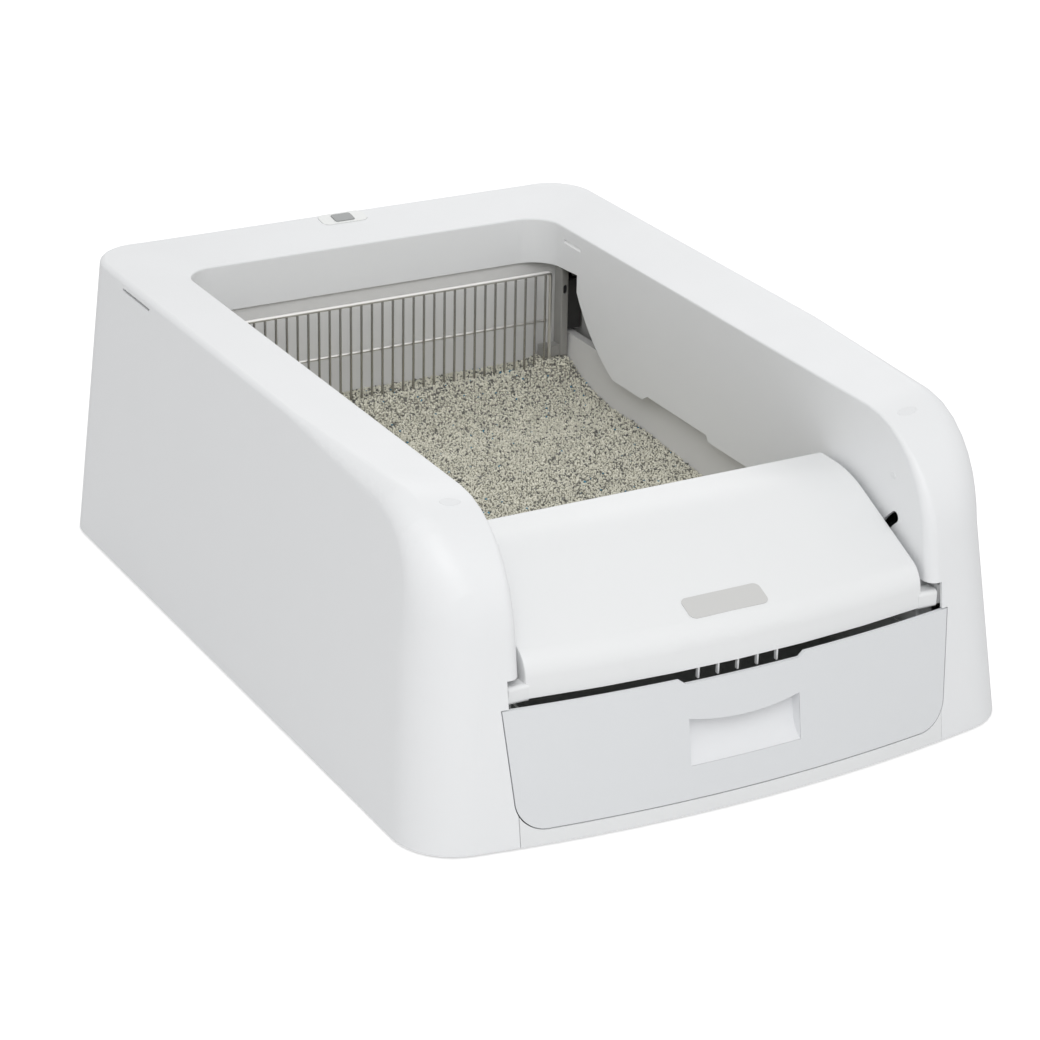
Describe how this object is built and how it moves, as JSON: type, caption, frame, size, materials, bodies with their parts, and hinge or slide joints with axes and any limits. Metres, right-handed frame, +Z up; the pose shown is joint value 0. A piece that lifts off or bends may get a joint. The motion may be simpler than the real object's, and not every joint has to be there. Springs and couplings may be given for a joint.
{
  "type": "self-cleaning litter box",
  "caption": "Self-cleaning litter box with a wire rake on belt-driven carriages, a hinged waste lid over a pull-out drawer, and a push button on its rear rim.",
  "frame": {"origin": "on the floor, under the middle of the box's bounding box", "axes": "+X to the right as seen from the drawer's side, +Y to the rear, +Z up"},
  "size_m": [0.48, 0.6599, 0.2304],
  "materials": {
    "white_plastic": "satin white moulded plastic",
    "pale_plate": "matte light grey",
    "grey_tray": "satin grey moulded plastic",
    "grey_plastic": "satin mid grey moulded plastic",
    "dark_plastic": "matte black moulded plastic",
    "litter": "loose pale grey crystals",
    "wire": "bright stainless wire",
    "steel": "ground steel",
    "rubber": "matte rubber",
    "gear_plastic": "natural moulded plastic",
    "board": "green laminate"
  },
  "bodies": {
    "base": {"housing": "white_plastic", "base_tub": "white_plastic", "rubber_feet": "rubber", "housing_screws": "steel", "litter_tray": "grey_tray", "litter_bed": "litter", "guide_rod_left": "steel", "guide_rod_right": "steel", "front_bracket_left": "grey_plastic", "front_bracket_right": "grey_plastic", "rear_bracket_left": "grey_plastic", "rear_bracket_right": "grey_plastic", "shaft_bearings": "gear_plastic", "idler_axles": "steel", "drive_belt_left": "dark_plastic", "drive_belt_right": "dark_plastic", "gearbox": "steel", "gearbox_screws": "steel", "motor": "steel", "motor_mount": "grey_plastic", "hinge_saddle_left": "white_plastic", "hinge_saddle_right": "white_plastic", "control_plate": "grey_plastic", "circuit_board": "board", "tact_switch": "dark_plastic", "power_inlet": "dark_plastic"},
    "rake": {"rake_tines": "wire", "rake_top_wire": "wire", "rake_middle_wire": "wire", "rake_crank_left": "grey_plastic", "rake_crank_right": "grey_plastic", "carriage_left": "dark_plastic", "carriage_right": "dark_plastic", "carriage_bushes": "gear_plastic", "belt_clamps": "dark_plastic"},
    "drive_shaft": {"cross_shaft": "steel", "drive_pulley_left": "gear_plastic", "drive_pulley_right": "gear_plastic", "driven_gear": "gear_plastic"},
    "pinion": {"motor_pinion": "gear_plastic", "pinion_shaft": "steel"},
    "left_idler": {"idler_pulley_left": "gear_plastic"},
    "right_idler": {"idler_pulley_right": "gear_plastic"},
    "lid": {"waste_lid": "white_plastic", "lid_plate": "pale_plate", "lid_hinge_pins": "steel", "lid_stop_pins": "white_plastic"},
    "drawer": {"drawer_front": "white_plastic", "handle_cup": "white_plastic", "waste_bin": "grey_tray"},
    "button": {"control_button": "dark_plastic"}
  },
  "joints": [
    {"name": "rake_travel", "type": "slide", "parent": "base", "child": "rake", "axis": [0, -1, 0], "range_m": [0, 0.31], "deforming": ["litter_bed"]},
    {"name": "drive_shaft_turn", "type": "hinge", "parent": "base", "child": "drive_shaft", "pos_m": [0, 0.284, 0.148], "axis": [1, 0, 0], "range_deg": [0, 1860.5]},
    {"name": "pinion_turn", "type": "hinge", "parent": "base", "child": "pinion", "pos_m": [0, 0.28868, 0.13052], "axis": [1, 0, 0], "range_deg": [-3721, 0]},
    {"name": "left_idler_turn", "type": "hinge", "parent": "base", "child": "left_idler", "pos_m": [-0.213, -0.128, 0.148], "axis": [1, 0, 0], "range_deg": [0, 1860.5]},
    {"name": "right_idler_turn", "type": "hinge", "parent": "base", "child": "right_idler", "pos_m": [0.213, -0.128, 0.148], "axis": [1, 0, 0], "range_deg": [0, 1860.5]},
    {"name": "lid_hinge", "type": "hinge", "parent": "base", "child": "lid", "pos_m": [0, -0.291, 0.1045], "axis": [1, 0, 0], "range_deg": [0, 24]},
    {"name": "drawer_slide", "type": "slide", "parent": "base", "child": "drawer", "axis": [0, -1, 0], "range_m": [0, 0.12]},
    {"name": "button_press", "type": "slide", "parent": "base", "child": "button", "axis": [0, 0.1494, -0.9888], "range_m": [0, 0.0012], "stiffness_N_per_m": 600}
  ],
  "couplings": [
    {"joint": "drive_shaft_turn", "follows": "rake_travel", "rad_per_m": 104.72},
    {"joint": "pinion_turn", "follows": "rake_travel", "rad_per_m": -209.44},
    {"joint": "left_idler_turn", "follows": "rake_travel", "rad_per_m": 104.72},
    {"joint": "right_idler_turn", "follows": "rake_travel", "rad_per_m": 104.72}
  ]
}
